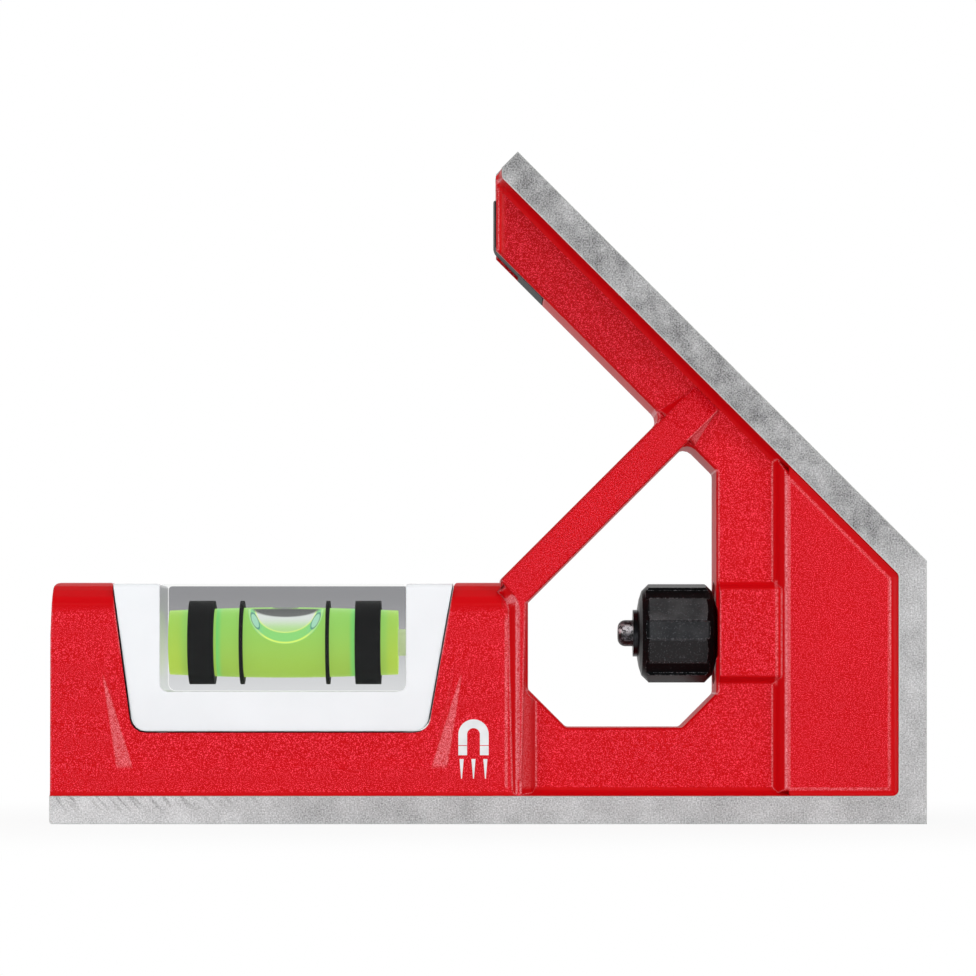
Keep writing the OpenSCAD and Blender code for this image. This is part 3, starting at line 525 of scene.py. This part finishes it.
def pick(mode, wanted):
    """Select in edit mode only what the test wants, by its place."""
    bpy.ops.mesh.select_mode(type=mode)
    bpy.ops.mesh.select_all(action="DESELECT")
    bpy.ops.object.mode_set(mode="OBJECT")
    mesh = bpy.context.object.data
    if mode == "VERT":
        for vertex in mesh.vertices:
            vertex.select = wanted(vertex.co)
    else:
        for edge in mesh.edges:
            first, second = (mesh.vertices[k].co for k in edge.vertices)
            edge.select = wanted(first) and wanted(second)
    bpy.ops.object.mode_set(mode="EDIT")


def settle(obj, name, body, finish):
    """Put the piece's place into its mesh, give it its finish and let it ride."""
    deselect()
    obj.select_set(True)
    bpy.context.view_layer.objects.active = obj
    bpy.ops.object.transform_apply(location=True, rotation=True, scale=True)
    obj.name = name
    obj.data.materials.clear()
    obj.data.materials.append(finish)
    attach(obj, body)


def slab(x0, x1, z0, z1, y, side=-1):
    """One flat face in the plane of the head, in mm; it looks to the front or, with side 1, to the back."""
    deselect()
    middle = ((x0 + x1) / 2 * MM, y * MM, (z0 + z1) / 2 * MM)
    bpy.ops.mesh.primitive_plane_add(size=1.0, location=middle, rotation=(-side * math.pi / 2, 0, 0))
    obj = bpy.context.object
    obj.scale = ((x1 - x0) * MM, (z1 - z0) * MM, 1)
    bpy.ops.object.transform_apply(location=True, rotation=True, scale=True)
    return obj


def pad_cove(side, name):
    """Cove that carries the pad up to the inner edge of the ground bands."""
    left, base_z, top, face_y = 36.0, 4.0, 60.0, 9.95
    corner, thickness, tiny = 0.5, 0.8, 0.06
    obj = slab(left, PAD_END_X, base_z, top, side * face_y, side)
    bpy.ops.object.mode_set(mode="EDIT")
    bpy.ops.mesh.select_all(action="SELECT")
    bpy.ops.mesh.bisect(
        plane_co=(PAD_END_X * MM, 0, (PAD_END_SUM - PAD_END_X) * MM), plane_no=(1, 0, 1), clear_outer=True
    )
    pick("VERT", lambda co: co.x > (PAD_END_X - 0.1) * MM)
    bpy.ops.mesh.bevel(offset=corner * MM, segments=4, affect="VERTICES")
    bpy.ops.mesh.select_mode(type="FACE")
    bpy.ops.mesh.select_all(action="SELECT")
    # From the bands inwards: how wide each ring of the cove is, and how far it sinks
    profile = ((0.12, 0.2), (0.18, 0.17), (0.25, 0.15), (0.3, 0.11), (0.3, 0.08), (0.25, 0.07))
    for width, drop in profile:
        bpy.ops.mesh.inset(thickness=width * MM, depth=-drop * MM)
        bpy.ops.mesh.remove_doubles(threshold=tiny * MM)
    bpy.ops.mesh.select_all(action="SELECT")
    bpy.ops.mesh.bisect(plane_co=(PAD_START_X * MM, 0, 0), plane_no=(1, 0, 0), clear_inner=True)
    bpy.ops.mesh.select_all(action="SELECT")
    bpy.ops.mesh.extrude_region_move(TRANSFORM_OT_translate={"value": (0, -side * thickness * MM, 0)})
    bpy.ops.mesh.select_all(action="SELECT")
    bpy.ops.mesh.normals_make_consistent(inside=False)
    bpy.ops.object.mode_set(mode="OBJECT")
    bpy.ops.object.shade_smooth_by_angle(angle=math.radians(35))
    settle(obj, name, "head", finishes["head_casting"])


def magnet_sign(finish):
    """Small sign of a horseshoe magnet with three tapered marks under it, laid on the base arm."""
    middle, crown, y = -2.07, 12.74, -9.5
    outer, inner = 2.17, 0.915
    legs_end, feet = 11.22, (9.79, 11.12)
    spacing, mark_half, mark_tip, mark_top, tip_share = 1.7, 0.3, 6.45, 9.25, 0.2
    thickness, tiny = 0.06, 0.001
    centre = (middle * MM, y * MM, crown * MM)
    deselect()
    bpy.ops.mesh.primitive_circle_add(
        vertices=64, radius=outer * MM, location=centre, rotation=(math.pi / 2, 0, 0)
    )
    arch = bpy.context.object
    bpy.ops.object.transform_apply(location=True, rotation=True, scale=True)
    bpy.ops.object.mode_set(mode="EDIT")
    bpy.ops.mesh.select_all(action="SELECT")
    bpy.ops.mesh.extrude_edges_move()
    bpy.ops.transform.resize(value=(inner / outer,) * 3, center_override=centre)
    bpy.ops.mesh.select_all(action="SELECT")
    bpy.ops.mesh.bisect(plane_co=(0, 0, crown * MM), plane_no=(0, 0, 1), clear_inner=True)
    pick("EDGE", lambda co: co.z < (crown + 0.01) * MM)
    bpy.ops.mesh.extrude_edges_move(TRANSFORM_OT_translate={"value": (0, 0, (legs_end - crown) * MM)})
    bpy.ops.object.mode_set(mode="OBJECT")
    parts = [arch]
    for left in (middle - outer, middle + inner):
        parts.append(slab(left, left + outer - inner, *feet, y))
    for x in (middle - spacing, middle, middle + spacing):
        mark = slab(x - mark_half, x + mark_half, mark_tip, mark_top, y)
        bpy.ops.object.mode_set(mode="EDIT")
        pick("VERT", lambda co: co.z < (mark_tip + 0.05) * MM)
        bpy.ops.transform.resize(
            value=(tip_share, 1, 1), center_override=(x * MM, y * MM, mark_tip * MM)
        )
        bpy.ops.object.mode_set(mode="OBJECT")
        parts.append(mark)
    deselect()
    for part in parts:
        part.select_set(True)
    bpy.context.view_layer.objects.active = arch
    bpy.ops.object.join()
    bpy.ops.object.mode_set(mode="EDIT")
    bpy.ops.mesh.select_all(action="SELECT")
    bpy.ops.mesh.remove_doubles(threshold=tiny * MM)
    bpy.ops.mesh.normals_make_consistent(inside=False)
    bpy.ops.object.mode_set(mode="OBJECT")
    laid = arch.modifiers.new("laid", "SHRINKWRAP")
    laid.target = nodes["head_casting"]
    laid.wrap_method = "PROJECT"
    laid.use_project_y = True
    laid.use_negative_direction = False
    laid.use_positive_direction = True
    thick = arch.modifiers.new("thick", "SOLIDIFY")
    thick.thickness = thickness * MM
    thick.offset = 0.0
    for modifier in (laid, thick):
        bpy.ops.object.modifier_apply(modifier=modifier.name)
    settle(arch, "magnet_sign", "head", finish)


pad_cove(-1, "pad_cove_front")
pad_cove(1, "pad_cove_back")
magnet_sign(plain_finish("white_print", ink(228, 232, 234), ink(238, 241, 243), 600.0, 0.5, specular=0.2))


# Stage
def world_light():
    """White to the camera, through glass and, behind the object, in what mirrors the background.

    As light it is dark in front and brighter behind.
    """
    world = bpy.data.worlds.new("studio")
    bpy.context.scene.world = world
    f = Finish(world, "ShaderNodeOutputWorld")
    back = f.split(f.add("ShaderNodeTexCoord", out="Generated"))[1]
    light = f.add("ShaderNodeMapRange", None, back, -0.25, 0.5, 0.04, 0.4)
    behind = f.add("ShaderNodeMapRange", None, back, 0.0, 0.5)
    seen = f.ray("Is Camera Ray").most(f.ray("Is Transmission Ray")).most(f.ray("Is Glossy Ray") * behind)
    strength = light + (1 - light) * seen
    f.finished(f.add("ShaderNodeBackground", None, Color=(1, 1, 1, 1), Strength=strength))


def softbox(name, place, size, power, mirrored=True):
    """Soft lamp aimed at the middle of the object; one that isn't mirrored leaves no highlight."""
    lamp = bpy.data.lights.new(name, "AREA")
    lamp.shape = "RECTANGLE"
    lamp.size, lamp.size_y = size
    lamp.energy = power
    obj = bpy.data.objects.new(name, lamp)
    bpy.context.scene.collection.objects.link(obj)
    obj.location = place
    obj.rotation_euler = (Vector((0, 0, 0.03)) - Vector(place)).to_track_quat("-Z", "Y").to_euler()
    obj.visible_glossy = mirrored


def floor_finish():
    """White like the background wherever it is seen or mirrored, with a soft shadow close to the object."""
    f = new_finish("pale_floor")
    place = f.place()
    clouds = f.noise(place, 3.0, 2.0, 0.5)
    matt = f.add(
        "ShaderNodeBsdfDiffuse", None, Color=f.blend(clouds, (0.7, 0.7, 0.7), (0.74, 0.74, 0.74))
    )
    white = f.add("ShaderNodeEmission", None, Color=(1, 1, 1, 1), Strength=1.0)
    seen = f.ray("Is Camera Ray").most(f.ray("Is Glossy Ray")).most(f.ray("Is Transmission Ray"))
    x, y, _ = f.split(place)
    away = f.work("SQRT", x * x * 0.6 + y * y).above(0.02, 0.13)
    return f.finished(f.mixed(seen * (0.9 + away * 0.1), matt, white))


deselect()
bpy.ops.mesh.primitive_plane_add(size=1.6, location=(0, 0, -0.00002))
floor = bpy.context.object
floor.name = "floor"
floor.data.materials.append(floor_finish())

world_light()
softbox("left_softbox", (-0.5, -0.45, 0.06), (0.24, 0.45), 1.8)
softbox("right_softbox", (0.5, -0.45, 0.06), (0.24, 0.45), 1.8)
softbox("front_fill", (0.0, -0.95, 0.3), (0.6, 0.6), 3.6, mirrored=False)
softbox("overhead_fill", (0.0, -0.25, 0.9), (0.7, 0.7), 2.6, mirrored=False)
softbox("back_fill", (0.0, 0.95, 0.4), (0.6, 0.6), 3.0, mirrored=False)

# The camera is level and stands 600 mm before the front bands; the picture's middle is higher than it
camera_z, picture_z, picture_width = 0.021, 0.04786, 0.13894
camera = bpy.data.objects.new("camera", bpy.data.cameras.new("camera"))
bpy.context.scene.collection.objects.link(camera)
camera.data.sensor_width = 36
camera.data.lens = 155.4
camera.data.clip_start = 0.01
camera.data.shift_y = (picture_z - camera_z) / picture_width
camera.location = (0.0, -0.610, camera_z)
camera.rotation_euler = (math.radians(90), 0, 0)
bpy.context.scene.camera = camera
bpy.context.scene.view_settings.view_transform = "Standard"
